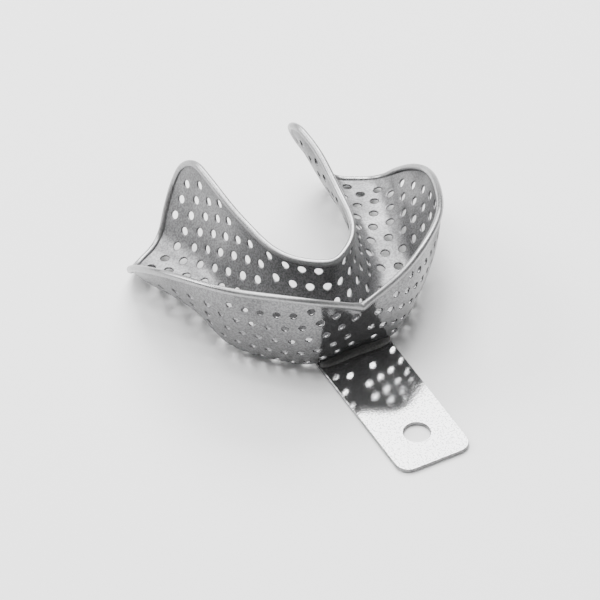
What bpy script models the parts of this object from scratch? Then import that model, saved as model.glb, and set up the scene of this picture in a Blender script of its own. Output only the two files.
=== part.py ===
"""Lower (mandibular) perforated impression tray in polished sheet metal.

The tray is one drawn perforated sheet, a U-shaped trough that follows the dental arch, with a
round wire soldered all round its edge, a flat handle lapped under its floor, and the solder that
joins them.
World frame: +X to the side, +Y towards the back of the mouth, +Z up out of the trough. The origin
is on the table, below the middle of the object. Lengths below are in millimetres.
"""

import math

import bmesh
import bpy
import numpy as np
from mathutils import Matrix, Vector
from mathutils.geometry import delaunay_2d_cdt

MM = 0.001

# Sheet, wire and the gap kept between pieces that touch
SHEET = 0.5
WIRE = 1.6
GAP = 0.3
EDGE_GAP = 1.2 * GAP

# Handle: a flat strip with a hang hole, lapped under the floor
HANDLE_WIDTH = 18.0
HANDLE_THICK = 0.9
HANDLE_END_Y = -47.3
HANDLE_LAP_Y = 0.0
HANDLE_CORNER = 3.2
HANDLE_EDGE = 0.12
HANG_HOLE_Y = -37.7
HANG_HOLE_DIAMETER = 6.0
HANG_HOLE_SIDES = 40

FLOOR_Z = HANDLE_THICK + GAP + SHEET / 2

# The trough's four rails, at eight stations of the right half from midline to rear
OUTER_RIM = [
    (0.0, -12.5, 17.5),
    (9.5, -12.5, 23.0),
    (18.5, -8.0, 25.0),
    (26.5, 0.0, 24.0),
    (31.5, 9.5, 21.5),
    (34.5, 19.0, 17.5),
    (35.0, 29.0, 10.5),
    (32.5, 37.5, 1.5),
]
OUTER_BASE = [
    (0.0, -9.5, FLOOR_Z),
    (9.5, -9.5, FLOOR_Z),
    (17.0, -4.0, FLOOR_Z),
    (24.0, 5.0, FLOOR_Z),
    (26.0, 14.0, 3.0),
    (29.0, 22.5, 3.5),
    (31.5, 31.0, 2.5),
    (29.5, 39.5, 1.0),
]
INNER_BASE = [
    (0.0, -2.5, FLOOR_Z),
    (5.0, -1.5, FLOOR_Z),
    (10.0, 2.5, FLOOR_Z),
    (14.0, 8.5, FLOOR_Z),
    (16.5, 16.5, 2.5),
    (17.5, 24.5, 3.0),
    (18.0, 33.0, 2.5),
    (21.5, 44.5, 1.5),
]
INNER_RIM = [
    (0.0, 0.5, 20.5),
    (3.5, 2.0, 20.5),
    (7.0, 5.0, 20.5),
    (10.0, 10.5, 20.5),
    (11.5, 18.5, 21.0),
    (12.5, 26.0, 22.0),
    (13.0, 34.0, 23.0),
    (13.0, 45.0, 22.5),
]
OUTER_BELLY = 0.07
INNER_BELLY = 0.07
BEND_OUT = (1.7, 5.0)
BEND_IN = (3.6, 6.0)
BEND_PLACES = (0.3, 0.75)
MOST_BEND = 0.45
REAR_OUT_ROUND = 7.0
REAR_IN_ROUND = 6.0
REAR_SWEEP = 1.5
NOTCH_ROUND = 1.2

# Perforations: rows along the arch on the front of the outer wall and on the inner wall opposite,
# and columns across the arch behind them. The pattern is drawn more on the left than on the right.
# Those on the front of the outer wall are smaller.
PERFORATION_RADIUS = 1.0
FRONT_RADIUS = 0.82
RIM_MARGIN = 2.45
CLOSEST = 3.0
FRONT_ROWS = (0.7, 5.2, 10.2, 14.7, 19.0)
FRONT_REACH = 34.0
FRONT_PATTERN = ((-1, (2.0, 3.6), 3.75), (1, (4.2, 2.6), 3.1))
ROW_PEAK = 4.8
ROW_PEAK_REACH = 17.0
INNER_PITCH = 5.35
INNER_SHIFT = 3.1
INNER_FIRST = 2.7
INNER_ROW_GAP = 4.6
INNER_ROWS = range(-2, 5)
INNER_PLACES = range(-6, 7)
INNER_REACH = 25.5
COLUMN_PATTERN = ((-1, 58.4, 4.37, 4.2), (1, 55.3, 4.07, 2.1))
COLUMNS = 9
COLUMN_ROWS = range(-9, 6)
COLUMN_PITCH = 4.15

# Solder along the front of the handle, as steps out from the sheet and up from the handle
SOLDER_PROFILE = [(0.1, 0.3), (2.2, 0.3), (1.55, 0.6), (1.25, 1.2), (1.2, 2.0), (0.85, 1.6), (0.4, 0.9)]
SOLDER_HALF_WIDTH = 8.4

# How finely the sheet is sampled, and how finely its curves, edge and bends are cut
STATIONS = len(OUTER_RIM) - 1
SAMPLES_ALONG = 130
SAMPLES_ACROSS = 160
WALL_STEPS = 12
BEND_STEPS = 12
ROUND_STEPS = 30
PERFORATION_SIDES = 6
PLAN_LENGTH = 66.0
PLAN_WIDTH = 44.0
EDGE_STEP = 2.3
FINE_EDGE_STEP = 0.5
WIRE_STEP = 2.4
TANGENT_STEP = 0.004
REAR_STEP = 0.05
BEND_SPREAD = (-1.9, -1.1, -0.4, 0.4, 1.1, 1.9)
BEND_CELL = 2.6
BEND_CLEAR = 0.62
CELL = 3.0
CELL_CLEAR = 1.25
NOTCH_STEPS = 4
CORNER_STEPS = 6
SOLDER_STEPS = 10
TUBE_ROUNDNESS = 2


def clear_scene():
    for obj in list(bpy.data.objects):
        bpy.data.objects.remove(obj)


def material(name, colour, roughness):
    made = bpy.data.materials.new(name)
    made.use_nodes = True
    shader = made.node_tree.nodes["Principled BSDF"]
    shader.inputs["Base Color"].default_value = (*colour, 1.0)
    shader.inputs["Metallic"].default_value = 1.0
    shader.inputs["Roughness"].default_value = roughness
    return made


def add_object(name, mesh, finish):
    obj = bpy.data.objects.new(name, mesh)
    bpy.context.scene.collection.objects.link(obj)
    obj.data.materials.append(finish)
    return obj


def helper(name, mesh):
    """A cutter, which is no piece of the tray."""
    cutter = bpy.data.objects.new(name, mesh)
    bpy.context.scene.collection.objects.link(cutter)
    cutter.hide_render = True
    cutter.display_type = "WIRE"
    return cutter


def mesh_of(name, points, faces):
    mesh = bpy.data.meshes.new(name)
    mesh.from_pydata([tuple(point * MM) for point in points], [], faces)
    mesh.shade_smooth()
    return mesh


def rail(points, creased=False):
    """A natural cubic spline through the points, one unit per station.

    It is mirrored at the midline, so that it crosses it square, unless it is creased there.
    """
    knots = np.array(points)
    before = 0
    if not creased:
        knots = np.vstack([knots[:0:-1] * (-1, 1, 1), knots])
        before = len(points) - 1
    count = len(knots)
    system = np.eye(count)
    bends = np.zeros((count, 3))
    for i in range(1, count - 1):
        system[i, i - 1 : i + 2] = (1, 4, 1)
        bends[i] = 6 * (knots[i - 1] - 2 * knots[i] + knots[i + 1])
    curve = np.linalg.solve(system, bends)

    def at(station):
        i = min(int(station) + before, count - 2)
        late = station + before - i
        early = 1 - late
        straight = early * knots[i] + late * knots[i + 1]
        return straight + ((early**3 - early) * curve[i] + (late**3 - late) * curve[i + 1]) / 6

    return at


RAILS = (rail(OUTER_RIM, creased=True), rail(OUTER_BASE), rail(INNER_BASE), rail(INNER_RIM))


def bend(corner, before, after, radius):
    """A parabolic bend round a corner, which takes at most MOST_BEND of the straight on each side."""
    steps = []
    for end in (before, after):
        length = np.linalg.norm(end - corner)
        steps.append(corner + (end - corner) * min(radius / length, MOST_BEND))
    start, stop = steps
    return [
        (1 - t) ** 2 * start + 2 * t * (1 - t) * corner + t**2 * stop
        for t in np.linspace(0, 1, BEND_STEPS + 1)
    ]


def section(along):
    """The trough's section, 0 at the midline and 1 at the rear, and which points lie mid-bend."""
    rim, base, inner_base, inner_rim = (at(along * STATIONS) for at in RAILS)
    out_radius, in_radius = (np.interp(along, BEND_PLACES, radii) for radii in (BEND_OUT, BEND_IN))
    outer = bend(base, rim, inner_base, out_radius)
    inner = bend(inner_base, base, inner_rim, in_radius)
    fall = belly(rim, outer[0], inner_base, OUTER_BELLY)
    rise = belly(inner_rim, inner[-1], base, INNER_BELLY)
    path = np.array([*fall, *outer, *inner, *rise[::-1]])
    return path, len(fall) + len(outer) // 2, len(fall) + len(outer) + len(inner) // 2


def belly(top, foot, inside, depth):
    """A wall from its rim down to the bend: a shallow arc that bulges away from the trough."""
    wall = foot - top
    away = foot - inside
    away = away - wall * (away @ wall) / (wall @ wall)
    bulge = depth * np.linalg.norm(wall) * away / np.linalg.norm(away)
    shares = np.linspace(0, 1, WALL_STEPS + 1)[:-1]
    return [top + wall * share + bulge * 4 * share * (1 - share) for share in shares]


def lengths(path):
    return np.concatenate([[0], np.cumsum(np.linalg.norm(np.diff(path, axis=0), axis=1))])


def unit(vectors):
    return vectors / np.linalg.norm(vectors, axis=-1)[..., None]


def sample_sheet():
    """The sheet's middle surface on a grid of arch places by section places, with its normals.

    Beside it are each section's length and how far along it the middles of its two bends lie.
    """
    shares = np.linspace(0, 1, SAMPLES_ACROSS + 1)
    half = []
    marks = []
    for along in np.linspace(0, 1, SAMPLES_ALONG + 1):
        path, outer, inner = section(along)
        run = lengths(path)
        half.append([np.interp(shares * run[-1], run, path[:, axis]) for axis in range(3)])
        marks.append((run[-1], run[outer], run[inner]))
    half = np.array(half).transpose(0, 2, 1)
    points = np.concatenate([half[:0:-1] * (-1, 1, 1), half])
    normals = unit(np.cross(np.gradient(points, axis=0), np.gradient(points, axis=1)))
    return points, normals, np.array([*marks[:0:-1], *marks])


POINTS, NORMALS, MARKS = sample_sheet()
ARCH = np.linspace(-1, 1, 2 * SAMPLES_ALONG + 1)


def read(grid, along, across):
    """Values of a grid at places along the arch (-1 to 1) and across it (0 outer rim to 1 inner rim)."""
    i = (np.asarray(along, float) + 1) * SAMPLES_ALONG
    j = np.asarray(across, float) * SAMPLES_ACROSS
    i0 = np.clip(i.astype(int), 0, grid.shape[0] - 2)
    j0 = np.clip(j.astype(int), 0, grid.shape[1] - 2)
    di = (i - i0)[..., None]
    dj = (j - j0)[..., None]
    low = grid[i0, j0] * (1 - di) + grid[i0 + 1, j0] * di
    high = grid[i0, j0 + 1] * (1 - di) + grid[i0 + 1, j0 + 1] * di
    return low * (1 - dj) + high * dj


def on_sheet(places):
    places = np.asarray(places)
    return read(POINTS, places[..., 0], places[..., 1])


def mark(which, along):
    """The section's length (0), or how far in its outer bend (1) or inner bend (2) lies."""
    return np.interp(along, ARCH, MARKS[:, which])


def speed(across):
    """Millimetres per unit of along, at the rear."""
    return np.linalg.norm(on_sheet((1, across)) - on_sheet((1 - REAR_STEP, across))) / REAR_STEP


# Each rear corner: its place across, and its radius as a share of the section and of the arch
REAR_CORNERS = [
    (edge, radius / mark(0, 1), radius / speed(edge))
    for edge, radius in ((0.0, REAR_OUT_ROUND), (1.0, REAR_IN_ROUND))
]


def rear_limit(across):
    """How far the sheet reaches at this place across.

    The rear edge sweeps forward over the floor and back over the inner wall, and its two corners are round.
    """
    short = REAR_SWEEP * math.sin(2 * math.pi * across) / speed(across)
    for edge, wide, deep in REAR_CORNERS:
        out = 1 - abs(across - edge) / wide
        if out > 0:
            short += deep * (1 - math.sqrt(1 - out**2))
    return 1 - short


def rear_edge(steps):
    """Evenly spaced places along the rear edge, from outer rim to inner rim."""
    turn = 1 - np.cos(np.linspace(0, math.pi / 2, ROUND_STEPS + 1))
    (_, first, _), (_, last, _) = REAR_CORNERS
    middle = np.linspace(first, 1 - last, 2 * ROUND_STEPS)[1:-1]
    across = np.concatenate([turn * first, middle, 1 - turn[::-1] * last])
    along = np.array([rear_limit(place) for place in across])
    run = lengths(read(POINTS, along, across))
    even = np.interp(np.linspace(0, run[-1], steps + 1), run, across)
    return np.array([(rear_limit(place), place) for place in even])


def edge_loop(step):
    """Places round the whole sheet's edge, about one step apart, from the outer rim's midline."""
    rear = rear_edge(round(PLAN_WIDTH / step))
    count = round(PLAN_LENGTH / step)
    outer = np.linspace((0, 0), rear[0], count + 1)
    inner = np.linspace(rear[-1], (0, 1), count + 1)
    half = np.vstack([outer, rear[1:-1], inner])
    return np.vstack([half, half[-2:0:-1] * (-1, 1)])


EDGE = edge_loop(EDGE_STEP)


def arc_from_midline(run):
    """Distance from the midline, at each place of ARCH, along the line that lies run millimetres in."""
    reach = lengths(read(POINTS, ARCH, run / MARKS[:, 0]))
    return reach - reach[len(reach) // 2]


def front_rows():
    """Rows that follow the arch on the front of the outer wall, and rise towards the midline."""
    reach = arc_from_midline(MARKS[:, 1] * 0.5)
    for number, height in enumerate(FRONT_ROWS):
        for side, starts, pitch in FRONT_PATTERN:
            for out in np.arange(starts[number % 2], FRONT_REACH, pitch):
                along = np.interp(side * out, reach, ARCH)
                lift = ROW_PEAK * max(0, 1 - out / ROW_PEAK_REACH)
                yield along, (mark(1, along) - height - lift) / mark(0, along)


def inner_rows():
    """Rows that follow the arch on the front of the floor and of the inner wall."""
    reach = arc_from_midline(MARKS[:, 2])
    for row in INNER_ROWS:
        first = INNER_SHIFT + 0.5 * (row % 2) * INNER_PITCH
        for number in INNER_PLACES:
            out = first + number * INNER_PITCH
            if abs(out) <= INNER_REACH:
                along = np.interp(out, reach, ARCH)
                yield along, (mark(2, along) + INNER_FIRST + row * INNER_ROW_GAP) / mark(0, along)


def columns():
    """Columns that cross the arch behind the front, from the inner rim to the outer one."""
    reach = arc_from_midline(MARKS[:, 2])
    for side, last, gap, first in COLUMN_PATTERN:
        for number in range(COLUMNS):
            along = np.interp(side * (last - number * gap), reach, ARCH)
            for row in COLUMN_ROWS:
                run = mark(2, along) + first + (row + 0.5 * (number % 2)) * COLUMN_PITCH
                yield along, run / mark(0, along)


def distance(point, points):
    return np.linalg.norm(np.asarray(points) - point, axis=1).min()


def perforations():
    """The middle and radius of every hole that is clear of the wire and of the holes before it."""
    rim = on_sheet(edge_loop(FINE_EDGE_STEP))
    kept = []
    middles = []
    patterns = (
        (front_rows(), FRONT_RADIUS),
        (columns(), PERFORATION_RADIUS),
        (inner_rows(), PERFORATION_RADIUS),
    )
    for pattern, radius in patterns:
        for along, across in pattern:
            if not 0 < across < 1 or abs(along) > rear_limit(across):
                continue
            here = on_sheet((along, across))
            if distance(here, rim) < RIM_MARGIN or (middles and distance(here, middles) < CLOSEST):
                continue
            kept.append((along, across, radius))
            middles.append(here)
    return kept


def ring(along, across, radius):
    """Places round a hole, spaced so that it is regular on the bent sheet."""
    step = TANGENT_STEP
    by_along = (on_sheet((along + step, across)) - on_sheet((along - step, across))) / (2 * step)
    by_across = (on_sheet((along, across + step)) - on_sheet((along, across - step))) / (2 * step)
    first = unit(by_along)
    second = unit(np.cross(read(NORMALS, along, across), first))
    turns = np.arange(PERFORATION_SIDES) * 2 * math.pi / PERFORATION_SIDES
    away = np.cos(turns)[:, None] * first + np.sin(turns)[:, None] * second
    steps = np.linalg.lstsq(np.c_[by_along, by_across], radius * away.T, rcond=None)[0].T
    return steps + (along, across)


def fill(places, centres):
    """Adds places between the holes: rows along the two bends first, then a coarse grid."""
    middles = on_sheet(centres)
    taken = list(on_sheet(places))
    bends = [
        (along, (mark(which, along) + off) / mark(0, along), BEND_CLEAR)
        for along in np.arange(-1, 1, BEND_CELL / PLAN_LENGTH)
        for which in (1, 2)
        for off in BEND_SPREAD
    ]
    grid = [
        (along, across, CELL_CLEAR)
        for along in np.arange(-1, 1, CELL / PLAN_LENGTH)
        for across in np.arange(0, 1, CELL / PLAN_WIDTH)
    ]
    for along, across, clear in bends + grid:
        here = on_sheet((along, across))
        if abs(along) > rear_limit(across) or distance(here, taken) < clear:
            continue
        if distance(here, middles) > PERFORATION_RADIUS + clear / 2:
            places.append((along, across))
            taken.append(here)


def sheet_mesh(name):
    """The sheet's middle surface, open at every perforation."""
    centres = perforations()
    places = list(EDGE)
    edges = [(i, (i + 1) % len(EDGE)) for i in range(len(EDGE))]
    for centre in centres:
        start = len(places)
        places.extend(ring(*centre))
        turn = range(PERFORATION_SIDES)
        edges += [(start + i, start + (i + 1) % PERFORATION_SIDES) for i in turn]
    rings_end = len(places)
    fill(places, centres)
    spread = np.array(places) * (PLAN_LENGTH, PLAN_WIDTH)
    made = delaunay_2d_cdt([Vector(place) for place in spread], edges, [], 0, 1e-7)
    origin = [min(ids) for ids in made[3]]
    owner = np.full(len(places), -1)
    owner[len(EDGE) : rings_end] = np.repeat(np.arange(len(centres)), PERFORATION_SIDES)
    faces = []
    for face in made[2]:
        corners = [origin[i] for i in face]
        owners = owner[corners]
        along, across = np.mean([places[i] for i in corners], axis=0)
        in_hole = owners[0] >= 0 and (owners == owners[0]).all()
        outside = max(corners) < len(EDGE) and abs(along) > rear_limit(across)
        if not in_hole and not outside:
            faces.append(corners)
    return mesh_of(name, on_sheet(places), faces)


def tray_shell(finish):
    shell = add_object("tray_shell", sheet_mesh("tray_shell"), finish)
    thick = shell.modifiers.new("sheet", "SOLIDIFY")
    thick.thickness = SHEET * MM
    thick.offset = 0
    room = shell.modifiers.new("room_for_wire", "BOOLEAN")
    room.operation = "DIFFERENCE"
    room.object = edge_cutter()
    return shell


def mirrored(point, side):
    return point * (side, 1, 1)


def notch_arc(bottom, side):
    """Points that round the wire's V at the midline, from the left side to the right side."""
    right = bottom + (side - bottom) * NOTCH_ROUND / np.linalg.norm(side - bottom)
    left = mirrored(right, -1)
    return [
        (1 - t) ** 2 * left + 2 * t * (1 - t) * bottom + t**2 * right
        for t in np.linspace(0, 1, NOTCH_STEPS + 1)
    ]


def rim_tube(name, diameter):
    """A closed round wire along the whole rim."""
    rim = on_sheet(edge_loop(WIRE_STEP))
    loop = [*notch_arc(rim[0], rim[1]), *rim[1:]]
    curve = bpy.data.curves.new(name, "CURVE")
    curve.dimensions = "3D"
    curve.bevel_depth = diameter / 2 * MM
    curve.bevel_resolution = TUBE_ROUNDNESS
    spline = curve.splines.new("POLY")
    spline.points.add(len(loop) - 1)
    for knot, point in zip(spline.points, loop):
        knot.co = (*(point * MM), 1.0)
    spline.use_cyclic_u = True
    spline.use_smooth = True
    return curve


def rim_wire(finish):
    return add_object("rim_wire", rim_tube("rim_wire", WIRE), finish)


def edge_cutter():
    """The room that the sheet leaves for the wire, as a mesh, which a Boolean needs."""
    guide = bpy.data.objects.new("edge_guide", rim_tube("edge_guide", WIRE + 2 * EDGE_GAP))
    cutter = helper("edge_cutter", bpy.data.meshes.new_from_object(guide))
    bpy.data.objects.remove(guide)
    return cutter


def handle_outline():
    """The strip's outline: square under the floor, with round corners at its free end."""
    half = HANDLE_WIDTH / 2
    outline = [(half, HANDLE_LAP_Y), (-half, HANDLE_LAP_Y)]
    for side in (-1, 1):
        centre_x = side * (half - HANDLE_CORNER)
        centre_y = HANDLE_END_Y + HANDLE_CORNER
        for turn in np.linspace(0, math.pi / 2, CORNER_STEPS + 1):
            swept = turn if side < 0 else math.pi / 2 - turn
            x = centre_x + side * HANDLE_CORNER * math.cos(swept)
            outline.append((x, centre_y - HANDLE_CORNER * math.sin(swept)))
    return outline


def hole_cutter():
    body = bmesh.new()
    bmesh.ops.create_cone(
        body,
        cap_ends=True,
        segments=HANG_HOLE_SIDES,
        radius1=HANG_HOLE_DIAMETER / 2 * MM,
        radius2=HANG_HOLE_DIAMETER / 2 * MM,
        depth=4 * HANDLE_THICK * MM,
        matrix=Matrix.Translation((0, HANG_HOLE_Y * MM, HANDLE_THICK / 2 * MM)),
    )
    mesh = bpy.data.meshes.new("hole_cutter")
    body.to_mesh(mesh)
    body.free()
    return helper("hole_cutter", mesh)


def handle(finish):
    body = bmesh.new()
    bottom = [body.verts.new((x * MM, y * MM, 0)) for x, y in handle_outline()]
    face = body.faces.new(bottom)
    raised = bmesh.ops.extrude_face_region(body, geom=[face])["geom"]
    top = [item for item in raised if isinstance(item, bmesh.types.BMVert)]
    bmesh.ops.translate(body, verts=top, vec=(0, 0, HANDLE_THICK * MM))
    bmesh.ops.recalc_face_normals(body, faces=body.faces)
    mesh = bpy.data.meshes.new("handle")
    body.to_mesh(mesh)
    body.free()
    strip = add_object("handle", mesh, finish)
    cut = strip.modifiers.new("hang_hole", "BOOLEAN")
    cut.operation = "DIFFERENCE"
    cut.object = hole_cutter()
    edges = strip.modifiers.new("broken_edges", "BEVEL")
    edges.width = HANDLE_EDGE * MM
    edges.segments = 1
    edges.limit_method = "ANGLE"
    return strip


def handle_solder(finish):
    """A fillet that follows the foot of the front wall across the handle."""
    base = RAILS[1]
    sides = len(SOLDER_PROFILE)
    points = []
    for i in range(1 - SOLDER_STEPS, SOLDER_STEPS):
        station = abs(i) / SOLDER_STEPS
        side = math.copysign(1, i)
        foot = mirrored(base(station), side)
        if abs(foot[0]) > SOLDER_HALF_WIDTH:
            continue
        ahead = station + 0.1 / SOLDER_STEPS
        run = (mirrored(base(ahead), side) - foot) * side
        out = np.array([run[1], -run[0], 0]) / np.hypot(run[0], run[1])
        lift = np.array([0, 0, HANDLE_THICK - foot[2]])
        for step_out, step_up in SOLDER_PROFILE:
            points.append(foot + out * step_out + lift + (0, 0, step_up))
    faces = [
        (i + j, i + (j + 1) % sides, i + sides + (j + 1) % sides, i + sides + j)
        for i in range(0, len(points) - sides, sides)
        for j in range(sides)
    ]
    last = len(points) - sides
    faces.append(tuple(range(sides))[::-1])
    faces.append(tuple(range(last, last + sides)))
    mesh = mesh_of("handle_solder", points, faces)
    face_outward(mesh)
    return add_object("handle_solder", mesh, finish)


def face_outward(mesh):
    body = bmesh.new()
    body.from_mesh(mesh)
    bmesh.ops.recalc_face_normals(body, faces=body.faces)
    body.to_mesh(mesh)
    body.free()


def main():
    clear_scene()
    sheet_steel = material("polished_sheet", (0.62, 0.62, 0.63), 0.22)
    wire_steel = material("polished_wire", (0.72, 0.72, 0.73), 0.18)
    strip_steel = material("polished_strip", (0.70, 0.70, 0.71), 0.20)
    solder = material("silver_solder", (0.66, 0.66, 0.64), 0.35)
    tray_shell(sheet_steel)
    rim_wire(wire_steel)
    handle(strip_steel)
    handle_solder(solder)


main()
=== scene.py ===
"""Looks of a lower impression tray: perforated sheet, beaded rim, handle and solder, all polished.

Shapes are in millimetres until a mesh is made; materials, lights and the studio floor are in metres.
World frame as in the CAD model: origin on the table under the middle of the tray, handle towards -Y,
+Z up out of the trough.
"""

import math

import bpy
import numpy as np
from mathutils import Matrix, Vector
from mathutils.geometry import delaunay_2d_cdt


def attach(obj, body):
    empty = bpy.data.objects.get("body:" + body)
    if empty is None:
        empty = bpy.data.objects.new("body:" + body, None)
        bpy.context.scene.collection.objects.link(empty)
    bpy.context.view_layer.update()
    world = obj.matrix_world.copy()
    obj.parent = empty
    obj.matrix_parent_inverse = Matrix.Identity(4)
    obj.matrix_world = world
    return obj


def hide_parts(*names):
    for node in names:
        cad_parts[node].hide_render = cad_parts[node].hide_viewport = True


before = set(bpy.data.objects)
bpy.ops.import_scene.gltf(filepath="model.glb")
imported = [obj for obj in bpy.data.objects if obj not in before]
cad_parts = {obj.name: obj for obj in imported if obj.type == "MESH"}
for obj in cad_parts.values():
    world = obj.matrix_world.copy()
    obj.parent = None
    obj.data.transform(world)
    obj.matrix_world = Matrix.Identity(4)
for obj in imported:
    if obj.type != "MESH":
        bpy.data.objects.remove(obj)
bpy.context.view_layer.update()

MM = 0.001

# The sheet, the wire round its edge and the handle's upper face
SHEET = 0.5
WIRE_RADIUS = 0.8
HANDLE_TOP = 0.9
FLOOR_Z = 1.45

# The trough's four rails, at eight stations of the right half from midline to rear
OUTER_RIM = [
    (0.0, -12.5, 17.5),
    (9.5, -12.5, 23.0),
    (18.5, -8.0, 25.0),
    (26.5, 0.0, 24.0),
    (31.5, 9.5, 21.5),
    (34.5, 19.0, 17.5),
    (35.0, 29.0, 10.5),
    (32.5, 37.5, 1.5),
]
OUTER_BASE = [
    (0.0, -9.5, FLOOR_Z),
    (9.5, -9.5, FLOOR_Z),
    (17.0, -4.0, FLOOR_Z),
    (24.0, 5.0, FLOOR_Z),
    (26.0, 14.0, 3.0),
    (29.0, 22.5, 3.5),
    (31.5, 31.0, 2.5),
    (29.5, 39.5, 1.0),
]
INNER_BASE = [
    (0.0, -2.5, FLOOR_Z),
    (5.0, -1.5, FLOOR_Z),
    (10.0, 2.5, FLOOR_Z),
    (14.0, 8.5, FLOOR_Z),
    (16.5, 16.5, 2.5),
    (17.5, 24.5, 3.0),
    (18.0, 33.0, 2.5),
    (21.5, 44.5, 1.5),
]
INNER_RIM = [
    (0.0, 0.5, 20.5),
    (3.5, 2.0, 20.5),
    (7.0, 5.0, 20.5),
    (10.0, 10.5, 20.5),
    (11.5, 18.5, 21.0),
    (12.5, 26.0, 22.0),
    (13.0, 34.0, 23.0),
    (13.0, 45.0, 22.5),
]
OUTER_BELLY = 0.07
INNER_BELLY = 0.07

# The radii of the two bends, at the front and at the rear, and where along the arch they change
BEND_OUT = (1.7, 5.0)
BEND_IN = (3.6, 6.0)
BEND_PLACES = (0.3, 0.75)
MOST_BEND = 0.45

# The rear edge: its two round corners, and how far it sweeps to and fro between them
REAR_OUT_ROUND = 7.0
REAR_IN_ROUND = 6.0
REAR_SWEEP = 1.5

# Perforations: staggered rows that follow the arch at the front, and columns that cross it behind.
# A pattern says for each side (-1 is the left) where its rows or columns lie.
HOLE_RADIUS = 0.95
FRONT_HOLE_RADIUS = 0.78
RIM_MARGIN = 2.45
CLOSEST = 3.0
FRONT_ROWS = (0.7, 5.2, 10.2, 14.7, 19.0)
FRONT_PATTERN = ((-1, (2.0, 3.6), 3.75), (1, (4.2, 2.6), 3.1))
FRONT_HOLES = 14
FRONT_REACH = 34.0
ROW_PEAK = 4.8
ROW_PEAK_REACH = 17.0
INNER_ROWS = range(-2, 5)
INNER_HOLES = range(-6, 7)
INNER_PITCH = 5.35
INNER_SHIFT = 3.1
INNER_FIRST = 2.7
INNER_ROW_GAP = 4.6
INNER_REACH = 25.5
COLUMN_PATTERN = ((-1, 58.4, 4.37, 4.2), (1, 55.3, 4.07, 2.1))
COLUMNS = 9
COLUMN_HOLES = range(-9, 6)
COLUMN_PITCH = 4.15

# A hole's rolled edge: its width on the skin, and its steps from the skin to the sheet's middle.
# A step has its distance outside the hole's radius, its depth under the skin, and how much its
# normal points off the sheet and into the hole.
HOLE_ROLL = 0.32
HOLE_EDGE = ((0.07, 0.05, 0.7, 0.7), (0.0, 0.16, 0.15, 1.0))
HOLE_SIDES = 14

# How finely the sheet is sampled and cut
STATIONS = len(OUTER_RIM) - 1
SAMPLES_ALONG = 220
SAMPLES_ACROSS = 200
BEND_STEPS = 14
WALL_STEPS = 18
CORNER_STEPS = 40
REAR_STEP = 0.05
PLAN_ALONG = 66.0
PLAN_ACROSS = 44.0
EDGE_STEP = 1.0
CELL = 1.25
CELL_CLEAR = 0.4 * CELL
MERGE = 1e-7

# The wire's points and sides, and the solder that swells it at the notch in the front
WIRE_SAMPLE = 0.5
WIRE_STEP = 0.45
WIRE_ROUNDS = 3
WIRE_SIDES = 18
NOTCH_SWELL = 0.3
NOTCH_REACH = 2.0

# The solder between the foot of the front wall and the handle: half its length, how far it climbs
# the wall and runs out on the handle, and how it shrinks towards its ends. Its hidden faces lie in
# the wall and in the handle.
FILLET_HALF = 8.7
FILLET_UP = 1.35
FILLET_OUT = 0.6
FILLET_END = 0.35
FILLET_FADE = 5
FILLET_HOLLOW = 0.3
FILLET_IN_WALL = 0.45
FILLET_IN_HANDLE = 0.03
FILLET_BACK_LOW = 1.6
FILLET_BACK_HIGH = 0.1
FILLET_STEPS = 48
FILLET_TURNS = 8
FILLET_CREASE = math.radians(50)

# The metals' textures, as (scale, detail), and the depth of their bumps in metres
METALLIC = 0.88
CLOUD = (90, 4)
GRAIN = (2300, 2)
WAVES = (110, 1)
LINES = (1, 3)
LINE_STRETCH = (2600, 160, 900)
NOISE_RANGE = (0.4, 0.6)
CLOUD_LOW = 0.8
CLOUD_HIGH = 1.25
FRONT_EDGE = (-0.0092, -0.005)
FINE_DEPTH = 0.00002
WAVE_DEPTH = 0.001

# The studio, in metres: a light has its name, its place, its size and its power
STUDIO_HALF = 6.0
STUDIO_DROP = 0.0001
STUDIO_ALBEDO = 0.94
STUDIO_ROUGHNESS = 0.9
STUDIO_SPECULAR = 0.2
WORLD_LEVEL = 0.36
LIGHTS = (
    ("back_softbox", (0.65, 1.2, 1.3), (1.25, 0.88), 64),
    ("top_softbox", (-0.15, 0.35, 1.8), (1.3, 1.1), 50),
    ("left_softbox", (-1.0, 1.35, 1.1), (1.1, 0.8), 40),
)

# The camera: its direction from the tray, its distance, and the point that it aims at
AZIMUTH = math.radians(-28.43)
RISE = math.radians(43.97)
DISTANCE = 1200.0
TRAY_MIDDLE = (0, -1.3, 0.9)
AIM_LEFT = 8.297
AIM_UP = 6.737
LENS = 322.1
SENSOR = 36
CLIP_START = 0.1


def rail(points, creased=False):
    """A natural cubic spline through the points, one unit per station, mirrored unless creased."""
    knots = np.array(points)
    before = 0
    if not creased:
        knots = np.vstack([knots[:0:-1] * (-1, 1, 1), knots])
        before = len(points) - 1
    count = len(knots)
    system = np.eye(count)
    bends = np.zeros((count, 3))
    for i in range(1, count - 1):
        system[i, i - 1 : i + 2] = (1, 4, 1)
        bends[i] = 6 * (knots[i - 1] - 2 * knots[i] + knots[i + 1])
    curve = np.linalg.solve(system, bends)

    def at(station):
        i = min(int(station) + before, count - 2)
        late = station + before - i
        early = 1 - late
        straight = early * knots[i] + late * knots[i + 1]
        return straight + ((early**3 - early) * curve[i] + (late**3 - late) * curve[i + 1]) / 6

    return at


RAILS = (rail(OUTER_RIM, creased=True), rail(OUTER_BASE), rail(INNER_BASE), rail(INNER_RIM))


def bow(start, corner, stop, steps):
    """Points along a parabola whose ends point at the corner."""
    return [
        (1 - t) ** 2 * start + 2 * t * (1 - t) * corner + t**2 * stop
        for t in np.linspace(0, 1, steps + 1)
    ]


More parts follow.
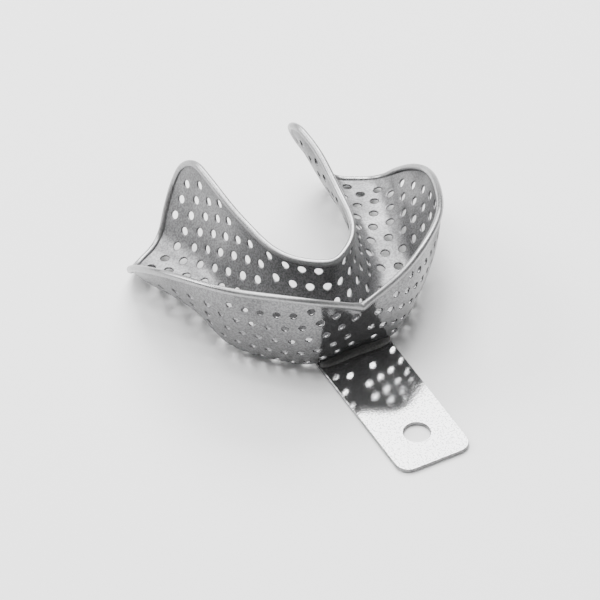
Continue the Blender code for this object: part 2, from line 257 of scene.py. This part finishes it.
def bend(corner, before, after, radius):
    """A rounded corner, which takes up at most a share MOST_BEND of the wall on each side."""
    ends = []
    for end in (before, after):
        length = np.linalg.norm(end - corner)
        ends.append(corner + (end - corner) * min(radius / length, MOST_BEND))
    start, stop = ends
    return bow(start, corner, stop, BEND_STEPS)


def belly(top, foot, inside, depth):
    """A wall from its rim down to the bend: a shallow arc that bulges away from the trough."""
    wall = foot - top
    away = foot - inside
    away = away - wall * (away @ wall) / (wall @ wall)
    bulge = depth * np.linalg.norm(wall) * away / np.linalg.norm(away)
    shares = np.linspace(0, 1, WALL_STEPS + 1)[:-1]
    return [top + wall * share + bulge * 4 * share * (1 - share) for share in shares]


def lengths(path):
    """How far along the path each of its points lies."""
    return np.concatenate([[0], np.cumsum(np.linalg.norm(np.diff(path, axis=0), axis=1))])


def section(along):
    """The trough's section, with the numbers of the points at the middle of its two bends."""
    rim, base, inner_base, inner_rim = (at(along * STATIONS) for at in RAILS)
    out_radius, in_radius = (np.interp(along, BEND_PLACES, radii) for radii in (BEND_OUT, BEND_IN))
    outer = bend(base, rim, inner_base, out_radius)
    inner = bend(inner_base, base, inner_rim, in_radius)
    fall = belly(rim, outer[0], inner_base, OUTER_BELLY)
    rise = belly(inner_rim, inner[-1], base, INNER_BELLY)
    path = np.array([*fall, *outer, *inner, *rise[::-1]])
    return path, len(fall) + len(outer) // 2, len(fall) + len(outer) + len(inner) // 2


def unit(vectors):
    return vectors / np.linalg.norm(vectors, axis=-1)[..., None]


def sample_sheet():
    """The sheet's middle surface on a grid of arch places by section places, with its normals.

    Beside it are each section's length and how far along it each of the two bends lies.
    """
    shares = np.linspace(0, 1, SAMPLES_ACROSS + 1)
    half = []
    marks = []
    for along in np.linspace(0, 1, SAMPLES_ALONG + 1):
        path, outer, inner = section(along)
        run = lengths(path)
        half.append([np.interp(shares * run[-1], run, path[:, axis]) for axis in range(3)])
        marks.append((run[-1], run[outer], run[inner]))
    half = np.array(half).transpose(0, 2, 1)
    points = np.concatenate([half[:0:-1] * (-1, 1, 1), half])
    normals = unit(np.cross(np.gradient(points, axis=0), np.gradient(points, axis=1)))
    return points, normals, np.concatenate([marks[:0:-1], marks])


POINTS, NORMALS, MARKS = sample_sheet()
ARCH = np.linspace(-1, 1, 2 * SAMPLES_ALONG + 1)


def read(grid, along, across):
    """Bilinear values of a grid at places along (-1 to 1) and across (0 to 1)."""
    i = (np.asarray(along, float) + 1) * SAMPLES_ALONG
    j = np.asarray(across, float) * SAMPLES_ACROSS
    i0 = np.clip(i.astype(int), 0, grid.shape[0] - 2)
    j0 = np.clip(j.astype(int), 0, grid.shape[1] - 2)
    di = (i - i0)[..., None]
    dj = (j - j0)[..., None]
    low = grid[i0, j0] * (1 - di) + grid[i0 + 1, j0] * di
    high = grid[i0, j0 + 1] * (1 - di) + grid[i0 + 1, j0 + 1] * di
    return low * (1 - dj) + high * dj


def mark(which, along):
    """The section's length (0), or how far along it the outer bend (1) or the inner one (2) lies."""
    return np.interp(along, ARCH, MARKS[:, which])


def speed(across):
    """Millimetres per unit of along, at the rear."""
    rear = read(POINTS, [1 - REAR_STEP, 1], [across, across])
    return np.linalg.norm(rear[1] - rear[0]) / REAR_STEP


# The rear corners: the edge that each is on, and its radius in units of across and of along
REAR_CORNERS = [
    (edge, radius / mark(0, 1), radius / speed(edge))
    for edge, radius in ((0.0, REAR_OUT_ROUND), (1.0, REAR_IN_ROUND))
]


def rear_limit(across):
    """How far back the sheet reaches: swept edge, round corners."""
    short = REAR_SWEEP * math.sin(2 * math.pi * across) / speed(across)
    for edge, wide, deep in REAR_CORNERS:
        out = 1 - abs(across - edge) / wide
        if out > 0:
            short += deep * (1 - math.sqrt(1 - out**2))
    return 1 - short


def rear_places(steps):
    """Places across for the rear edge, evenly spaced along the edge itself."""
    turn = 1 - np.cos(np.linspace(0, math.pi / 2, CORNER_STEPS))
    first, last = (wide for _, wide, _ in REAR_CORNERS)
    middle = np.linspace(first, 1 - last, 2 * CORNER_STEPS)[1:-1]
    fine = np.concatenate([turn * first, middle, 1 - turn[::-1] * last])
    limits = np.array([rear_limit(across) for across in fine])
    run = lengths(read(POINTS, limits, fine))
    return np.interp(np.linspace(0, run[-1], steps + 1), run, fine)


def edge_loop(step):
    """Places (along, across) round the whole sheet's edge, about one step apart, without repeats."""
    along_steps = int(2 * PLAN_ALONG / step)
    rear = rear_places(int(PLAN_ACROSS / step))
    rear_along = np.array([rear_limit(across) for across in rear])
    outer = np.linspace(-rear_along[0], rear_along[0], along_steps + 1)[:-1]
    inner = np.linspace(rear_along[-1], -rear_along[-1], along_steps + 1)[:-1]
    return np.concatenate(
        [
            np.c_[outer, np.zeros(along_steps)],
            np.c_[rear_along[:-1], rear[:-1]],
            np.c_[inner, np.ones(along_steps)],
            np.c_[-rear_along[:0:-1], rear[:0:-1]],
        ]
    )


EDGE = edge_loop(EDGE_STEP)
EDGE_POINTS = read(POINTS, EDGE[:, 0], EDGE[:, 1])


def nearest(point, others):
    """How far the nearest of the other points is."""
    return np.linalg.norm(np.asarray(others) - point, axis=1).min()


def arc_from_midline(run):
    """Distance along the arch, from the midline, of the line that lies run millimetres in."""
    reach = lengths(read(POINTS, ARCH, run / MARKS[:, 0]))
    return reach - reach[len(reach) // 2]


def front_rows():
    """Rows that follow the arch on the front of the outer wall, peaked at the midline."""
    reach = arc_from_midline(MARKS[:, 1] / 2)
    for row, height in enumerate(FRONT_ROWS):
        for side, starts, pitch in FRONT_PATTERN:
            for number in range(FRONT_HOLES):
                out = starts[row % 2] + number * pitch
                if out < FRONT_REACH:
                    along = np.interp(side * out, reach, ARCH)
                    lift = ROW_PEAK * max(0, 1 - out / ROW_PEAK_REACH)
                    yield along, (mark(1, along) - height - lift) / mark(0, along)


def inner_rows():
    """Rows that follow the arch on the front of the floor and of the inner wall."""
    reach = arc_from_midline(MARKS[:, 2])
    for row in INNER_ROWS:
        for number in INNER_HOLES:
            out = (number + 0.5 * (row % 2)) * INNER_PITCH + INNER_SHIFT
            if abs(out) <= INNER_REACH:
                along = np.interp(out, reach, ARCH)
                run = mark(2, along) + INNER_FIRST + row * INNER_ROW_GAP
                yield along, run / mark(0, along)


def columns():
    """Columns that cross the arch behind the front, from the rearmost one forward."""
    reach = arc_from_midline(MARKS[:, 2])
    for side, rearmost, gap, first in COLUMN_PATTERN:
        for column in range(COLUMNS):
            along = np.interp(side * (rearmost - column * gap), reach, ARCH)
            for number in COLUMN_HOLES:
                run = mark(2, along) + first + (number + 0.5 * (column % 2)) * COLUMN_PITCH
                yield along, run / mark(0, along)


def hole_centres():
    """(along, across, radius) of every hole that is clear of the wire and of the holes before it."""
    kept = []
    middles = []
    patterns = (
        (front_rows(), FRONT_HOLE_RADIUS),
        (columns(), HOLE_RADIUS),
        (inner_rows(), HOLE_RADIUS),
    )
    for pattern, radius in patterns:
        for along, across in pattern:
            if not 0 < across < 1 or abs(along) > rear_limit(across):
                continue
            here = read(POINTS, along, across)
            if nearest(here, EDGE_POINTS) <= RIM_MARGIN:
                continue
            if middles and nearest(here, middles) < CLOSEST:
                continue
            kept.append((along, across, radius))
            middles.append(here)
    return kept


def frame_at(along, across):
    """The sheet's normal, and its two tangents per unit of along and of across."""
    step = 1 / SAMPLES_ALONG
    low, high = np.clip([across - 1 / SAMPLES_ACROSS, across + 1 / SAMPLES_ACROSS], 0, 1)
    by_along = (read(POINTS, along + step, across) - read(POINTS, along - step, across)) / (2 * step)
    by_across = (read(POINTS, along, high) - read(POINTS, along, low)) / (high - low)
    return unit(read(NORMALS, along, across)), by_along, by_across


def ring(along, across, radius):
    """Places round a hole, so that it is round on the sheet, and the direction out to each."""
    normal, by_along, by_across = frame_at(along, across)
    first = unit(by_along)
    second = np.cross(normal, first)
    turns = np.arange(HOLE_SIDES) * 2 * math.pi / HOLE_SIDES
    away = np.cos(turns)[:, None] * first + np.sin(turns)[:, None] * second
    steps = np.linalg.lstsq(np.c_[by_along, by_across], radius * away.T, rcond=None)[0].T
    return steps + (along, across), away


def loop_edges(start, count):
    """Pairs of neighbours in a closed loop of points that are numbered from start."""
    return [(start + i, start + (i + 1) % count) for i in range(count)]


def grid_places(taken, middles):
    """Places on a square grid, clear of the points already taken and of the holes."""
    found = []
    clear = HOLE_RADIUS + HOLE_ROLL + CELL_CLEAR
    for along in np.arange(-1, 1, CELL / PLAN_ALONG):
        for across in np.arange(CELL / PLAN_ACROSS, 1, CELL / PLAN_ACROSS):
            if abs(along) > rear_limit(across):
                continue
            here = read(POINTS, along, across)
            if nearest(here, middles) >= clear and nearest(here, taken) > CELL_CLEAR:
                found.append((along, across))
    return found


def sheet_places(centres):
    """The places of a skin's points: round its edge, round each hole, then on the grid between.

    Beside them are the edges that the skin's triangles have to keep.
    """
    places = [*EDGE]
    edges = loop_edges(0, len(EDGE))
    for along, across, radius in centres:
        edges += loop_edges(len(places), HOLE_SIDES)
        places += [*ring(along, across, radius + HOLE_ROLL)[0]]
    taken = np.array([read(POINTS, *place) for place in places])
    middles = np.array([read(POINTS, along, across) for along, across, _ in centres])
    return np.array([*places, *grid_places(taken, middles)]), edges


def outside_edge(corners):
    """Whether a triangle between three edge points lies outside the sheet."""
    along, across = corners.mean(axis=0)
    return abs(along) > rear_limit(min(max(across, 0.0), 1.0))


def skin_triangles(places, edges, hole_count):
    """Triangles between the places, without those in the holes and those outside the edge."""
    hole_of = np.full(len(places), -1)
    first = len(EDGE)
    hole_of[first : first + hole_count * HOLE_SIDES] = np.repeat(np.arange(hole_count), HOLE_SIDES)
    plan = [Vector(place) for place in places * (PLAN_ALONG, PLAN_ACROSS)]
    made = delaunay_2d_cdt(plan, edges, [], 0, MERGE)
    origin = [min(numbers) for numbers in made[3]]
    kept = []
    for face in made[2]:
        corners = [origin[i] for i in face]
        holes = hole_of[corners]
        in_hole = holes[0] >= 0 and (holes == holes[0]).all()
        outside = max(corners) < len(EDGE) and outside_edge(places[corners])
        if not in_hole and not outside:
            kept.append(corners)
    return np.array(kept)


def hole_levels():
    """The steps of a hole's wall from the upper skin to the lower one."""
    upper = [(wide, SHEET / 2 - depth, off, into) for wide, depth, off, into in HOLE_EDGE]
    lower = [(wide, -height, -off, into) for wide, height, off, into in upper[::-1]]
    return upper + lower


HOLE_LEVELS = hole_levels()


def hole_points(along, across, radius):
    """The points of a hole's wall, level by level, and their normals."""
    points = []
    normals = []
    for wide, height, off, into in HOLE_LEVELS:
        around, away = ring(along, across, radius + wide)
        up = unit(read(NORMALS, around[:, 0], around[:, 1]))
        points.append(read(POINTS, around[:, 0], around[:, 1]) + up * height)
        normals.append(unit(up * off - away * into))
    return points, normals


def hole_faces(levels):
    """Faces between rings of points, each given by the number of its first point."""
    return [
        (upper + i, upper + j, lower + j, lower + i)
        for upper, lower in zip(levels, levels[1:])
        for i, j in loop_edges(0, HOLE_SIDES)
    ]


def sheet_mesh(name):
    """The sheet: an upper and a lower skin, closed round the edge and round every hole."""
    centres = hole_centres()
    places, edges = sheet_places(centres)
    triangles = skin_triangles(places, edges, len(centres))
    count = len(places)
    point = read(POINTS, places[:, 0], places[:, 1])
    normal = unit(read(NORMALS, places[:, 0], places[:, 1]))
    points = [point + normal * SHEET / 2, point - normal * SHEET / 2]
    normals = [normal, -normal]
    faces = [*triangles, *(triangles[:, ::-1] + count)]
    faces += [(j, i, i + count, j + count) for i, j in loop_edges(0, len(EDGE))]
    wall = len(HOLE_LEVELS) * HOLE_SIDES
    for number, centre in enumerate(centres):
        top = len(EDGE) + number * HOLE_SIDES
        first = 2 * count + number * wall
        faces += hole_faces([top, *range(first, first + wall, HOLE_SIDES), top + count])
        wall_points, wall_normals = hole_points(*centre)
        points += wall_points
        normals += wall_normals
    return shaded_mesh(name, np.concatenate(points), faces, np.concatenate(normals))


def smooth_mesh(name, points, faces):
    """A smooth mesh in metres, from points in millimetres."""
    mesh = bpy.data.meshes.new(name)
    mesh.from_pydata([tuple(point * MM) for point in points], [], [tuple(map(int, f)) for f in faces])
    mesh.shade_smooth()
    return mesh


def shaded_mesh(name, points, faces, normals):
    """A smooth mesh with a normal of its own at each point."""
    mesh = smooth_mesh(name, points, faces)
    mesh.normals_split_custom_set_from_vertices([tuple(normal) for normal in normals])
    return mesh


def tube_mesh(name, path, facing, radii):
    """A closed round tube; facing gives a direction square to the path at each point."""
    tangent = unit(np.roll(path, -1, axis=0) - np.roll(path, 1, axis=0))
    first = unit(facing - tangent * (facing * tangent).sum(axis=1)[:, None])
    second = np.cross(tangent, first)
    turns = (np.arange(WIRE_SIDES) * 2 * math.pi / WIRE_SIDES)[:, None]
    away = np.cos(turns) * first[:, None] + np.sin(turns) * second[:, None]
    points = path[:, None] + away * radii[:, None, None]
    faces = [
        (here * WIRE_SIDES + j, after * WIRE_SIDES + j, after * WIRE_SIDES + i, here * WIRE_SIDES + i)
        for here, after in loop_edges(0, len(path))
        for i, j in loop_edges(0, WIRE_SIDES)
    ]
    return shaded_mesh(name, points.reshape(-1, 3), faces, away.reshape(-1, 3))


def relaxed(path, rounds):
    """The closed path, with each point moved towards its neighbours in every round."""
    for _ in range(rounds):
        path = (np.roll(path, 1, axis=0) + 2 * path + np.roll(path, -1, axis=0)) / 4
    return path


def evenly(path, step):
    """The closed path again, with its points about one step apart."""
    closed = np.vstack([path, path[:1]])
    run = lengths(closed)
    at = np.linspace(0, run[-1], int(run[-1] / step) + 1)[:-1]
    return np.array([np.interp(at, run, closed[:, axis]) for axis in range(closed.shape[1])]).T


def wire_mesh(name):
    """The wire round the whole edge, thicker where it is soldered at the notch in the front."""
    loop = edge_loop(WIRE_SAMPLE)
    path = read(POINTS, loop[:, 0], loop[:, 1])
    facing = read(NORMALS, loop[:, 0], loop[:, 1])
    both = relaxed(evenly(np.hstack([path, facing]), WIRE_STEP), WIRE_ROUNDS)
    from_notch = np.linalg.norm(both[:, :3] - OUTER_RIM[0], axis=1)
    radii = WIRE_RADIUS * (1 + NOTCH_SWELL * np.exp(-((from_notch / NOTCH_REACH) ** 2)))
    return tube_mesh(name, both[:, :3], unit(both[:, 3:]), radii)


def fillet_section(out, reach):
    """The solder's section at a distance out from the midline: its hollow face, then its back."""
    along = np.interp(out, reach, ARCH)
    size = FILLET_END + (1 - FILLET_END) * (1 - abs(out / FILLET_HALF) ** FILLET_FADE)
    across = (mark(1, along) - FILLET_UP * size) / mark(0, along)
    normal = unit(read(NORMALS, along, across))
    top = read(POINTS, along, across) - normal * SHEET * FILLET_IN_WALL
    away = unit(-normal * (1, 1, 0))
    foot = top * (1, 1, 0) + (0, 0, HANDLE_TOP - FILLET_IN_HANDLE)
    hollow = bow(top, foot + (0, 0, FILLET_HOLLOW), foot + away * FILLET_OUT * size, FILLET_TURNS)
    return [*hollow, foot - away * FILLET_BACK_LOW, top - away * FILLET_BACK_HIGH]


def fillet_mesh(name):
    """Solder that fills the corner between the foot of the front wall and the handle."""
    reach = arc_from_midline(MARKS[:, 1])
    sections = [
        fillet_section(out, reach) for out in np.linspace(-FILLET_HALF, FILLET_HALF, FILLET_STEPS + 1)
    ]
    sides = len(sections[0])
    last = FILLET_STEPS * sides
    faces = [
        (start + i, start + j, start + sides + j, start + sides + i)
        for start in range(0, last, sides)
        for i, j in loop_edges(0, sides)
    ]
    faces += [range(sides)[::-1], range(last, last + sides)]
    mesh = smooth_mesh(name, [point for points in sections for point in points], faces)
    mesh.set_sharp_from_angle(angle=FILLET_CREASE)
    return mesh


def piece(name, mesh, node, finish):
    """A fixed piece that stands for a CAD node."""
    obj = bpy.data.objects.new(name, mesh)
    bpy.context.scene.collection.objects.link(obj)
    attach(obj, "root")
    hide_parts(node)
    mesh.materials.append(finish)


def noise(tree, texture, vector):
    """The value of a noise texture with the given (scale, detail)."""
    scale, detail = texture
    node = tree.nodes.new("ShaderNodeTexNoise")
    node.inputs["Scale"].default_value = scale
    node.inputs["Detail"].default_value = detail
    tree.links.new(vector, node.inputs["Vector"])
    return node.outputs["Fac"]


def between(tree, value, source, target):
    """The value, mapped from the source range to the target range and held inside it."""
    node = tree.nodes.new("ShaderNodeMapRange")
    node.inputs["From Min"].default_value = source[0]
    node.inputs["From Max"].default_value = source[1]
    node.inputs["To Min"].default_value = target[0]
    node.inputs["To Max"].default_value = target[1]
    tree.links.new(value, node.inputs["Value"])
    return node.outputs["Result"]


def bump(tree, strength, depth, height, normal):
    """The normal, disturbed by a height."""
    node = tree.nodes.new("ShaderNodeBump")
    node.inputs["Strength"].default_value = strength
    node.inputs["Distance"].default_value = depth
    tree.links.new(height, node.inputs["Height"])
    tree.links.new(normal, node.inputs["Normal"])
    return node.outputs["Normal"]


def speckled_colour(tree, value, colour, speckle):
    """The colour, from darker to paler as the value goes from 0 to 1."""
    mix = tree.nodes.new("ShaderNodeMix")
    mix.data_type = "RGBA"
    tree.links.new(value, mix.inputs[0])
    mix.inputs[6].default_value = (*(channel * (1 - speckle) for channel in colour), 1)
    mix.inputs[7].default_value = (*(channel * (1 + speckle) for channel in colour), 1)
    return mix.outputs[2]


def cloudy_roughness(tree, where, roughness, front):
    """The roughness, uneven in clouds, and multiplied by front on the front of the outer wall."""
    cloud = noise(tree, CLOUD, where.outputs["Object"])
    apart = tree.nodes.new("ShaderNodeSeparateXYZ")
    tree.links.new(where.outputs["Object"], apart.inputs["Vector"])
    product = tree.nodes.new("ShaderNodeMath")
    product.operation = "MULTIPLY"
    cloudy = between(tree, cloud, NOISE_RANGE, (roughness * CLOUD_LOW, roughness * CLOUD_HIGH))
    tree.links.new(cloudy, product.inputs[0])
    tree.links.new(between(tree, apart.outputs["Y"], FRONT_EDGE, (front, 1)), product.inputs[1])
    return product.outputs["Value"]


def uneven_normal(tree, where, fine, grain, scratch, wave, slope):
    """The normal, leaning forward by slope, then with waves, grain and tooling lines on it."""
    leaning = tree.nodes.new("ShaderNodeVectorMath")
    leaning.inputs[1].default_value = (0, -slope, 0)
    tree.links.new(where.outputs["Normal"], leaning.inputs[0])
    stretch = tree.nodes.new("ShaderNodeMapping")
    stretch.inputs["Scale"].default_value = LINE_STRETCH
    tree.links.new(where.outputs["Object"], stretch.inputs["Vector"])
    waves = noise(tree, WAVES, where.outputs["Object"])
    lines = noise(tree, LINES, stretch.outputs["Vector"])
    waved = bump(tree, wave, WAVE_DEPTH, waves, leaning.outputs["Vector"])
    grained = bump(tree, grain, FINE_DEPTH, fine, waved)
    return bump(tree, scratch, FINE_DEPTH, lines, grained)


def metal(name, colour, roughness, grain, scratch, speckle, wave=0.0, slope=0.0, front=1.0):
    """Polished steel: cloudy roughness, a speckled tone, fine tooling lines and a faint grain.

    Wave is how much hand polishing has left the surface uneven, and slope how far it leans forward.
    Front is the share of its roughness that the front of the outer wall has.
    """
    made = bpy.data.materials.new(name)
    made.use_nodes = True
    tree = made.node_tree
    shader = tree.nodes["Principled BSDF"]
    shader.inputs["Metallic"].default_value = METALLIC
    where = tree.nodes.new("ShaderNodeTexCoord")
    fine = noise(tree, GRAIN, where.outputs["Object"])
    tone = speckled_colour(tree, between(tree, fine, NOISE_RANGE, (0, 1)), colour, speckle)
    rough = cloudy_roughness(tree, where, roughness, front)
    normal = uneven_normal(tree, where, fine, grain, scratch, wave, slope)
    tree.links.new(tone, shader.inputs["Base Color"])
    tree.links.new(rough, shader.inputs["Roughness"])
    tree.links.new(normal, shader.inputs["Normal"])
    return made


def area_light(name, place, size, power):
    """A rectangular light that points at the origin."""
    data = bpy.data.lights.new(name, "AREA")
    data.shape = "RECTANGLE"
    data.size, data.size_y = size
    data.energy = power
    light = bpy.data.objects.new(name, data)
    light.location = place
    light.rotation_mode = "QUATERNION"
    light.rotation_quaternion = (-Vector(place)).to_track_quat("-Z", "Y")
    bpy.context.scene.collection.objects.link(light)


def add_floor():
    mesh = bpy.data.meshes.new("studio_floor")
    corners = [(x * STUDIO_HALF, y * STUDIO_HALF, 0) for x, y in ((-1, -1), (1, -1), (1, 1), (-1, 1))]
    mesh.from_pydata(corners, [], [(0, 1, 2, 3)])
    floor = bpy.data.objects.new("studio_floor", mesh)
    floor.location.z = -STUDIO_DROP
    bpy.context.scene.collection.objects.link(floor)
    made = bpy.data.materials.new("pale_floor")
    made.use_nodes = True
    shader = made.node_tree.nodes["Principled BSDF"]
    shader.inputs["Base Color"].default_value = (STUDIO_ALBEDO, STUDIO_ALBEDO, STUDIO_ALBEDO, 1)
    shader.inputs["Roughness"].default_value = STUDIO_ROUGHNESS
    shader.inputs["Specular IOR Level"].default_value = STUDIO_SPECULAR
    mesh.materials.append(made)


def add_world():
    world = bpy.data.worlds.new("studio")
    bpy.context.scene.world = world
    world.use_nodes = True
    background = world.node_tree.nodes["Background"]
    background.inputs["Color"].default_value = (1, 1, 1, 1)
    background.inputs["Strength"].default_value = WORLD_LEVEL


def add_camera():
    across = np.array([math.cos(AZIMUTH), math.sin(AZIMUTH), 0])
    level = math.cos(RISE)
    back = np.array([math.sin(AZIMUTH) * level, -math.cos(AZIMUTH) * level, math.sin(RISE)])
    up = np.cross(back, across)
    aim = np.array(TRAY_MIDDLE) - AIM_LEFT * across + AIM_UP * up
    place = (aim + DISTANCE * back) * MM
    data = bpy.data.cameras.new("camera")
    data.lens = LENS
    data.sensor_width = SENSOR
    data.clip_start = CLIP_START
    camera = bpy.data.objects.new("camera", data)
    rows = [[across[i], up[i], back[i], place[i]] for i in range(3)]
    camera.matrix_world = Matrix([*rows, [0, 0, 0, 1]])
    bpy.context.scene.collection.objects.link(camera)
    bpy.context.scene.camera = camera


def main():
    sheet = metal(
        "polished_sheet",
        (0.18, 0.18, 0.183),
        roughness=0.46,
        grain=0.5,
        scratch=0.2,
        speckle=0.25,
        wave=0.12,
        front=0.3,
    )
    wire = metal(
        "polished_wire", (0.3, 0.3, 0.303), roughness=0.34, grain=0.4, scratch=0.1, speckle=0.12
    )
    strip = metal(
        "polished_strip",
        (0.26, 0.26, 0.262),
        roughness=0.1,
        grain=0.35,
        scratch=0.1,
        speckle=0.3,
        wave=0.08,
        slope=0.035,
    )
    solder = metal(
        "silver_solder", (0.14, 0.14, 0.138), roughness=0.35, grain=0.4, scratch=0.0, speckle=0.15
    )
    piece("perforated_sheet", sheet_mesh("perforated_sheet"), "tray_shell", sheet)
    piece("rim_bead", wire_mesh("rim_bead"), "rim_wire", wire)
    piece("solder_fillet", fillet_mesh("solder_fillet"), "handle_solder", solder)
    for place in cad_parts["handle"].material_slots:
        place.material = strip
    add_floor()
    add_world()
    for light in LIGHTS:
        area_light(*light)
    add_camera()


main()
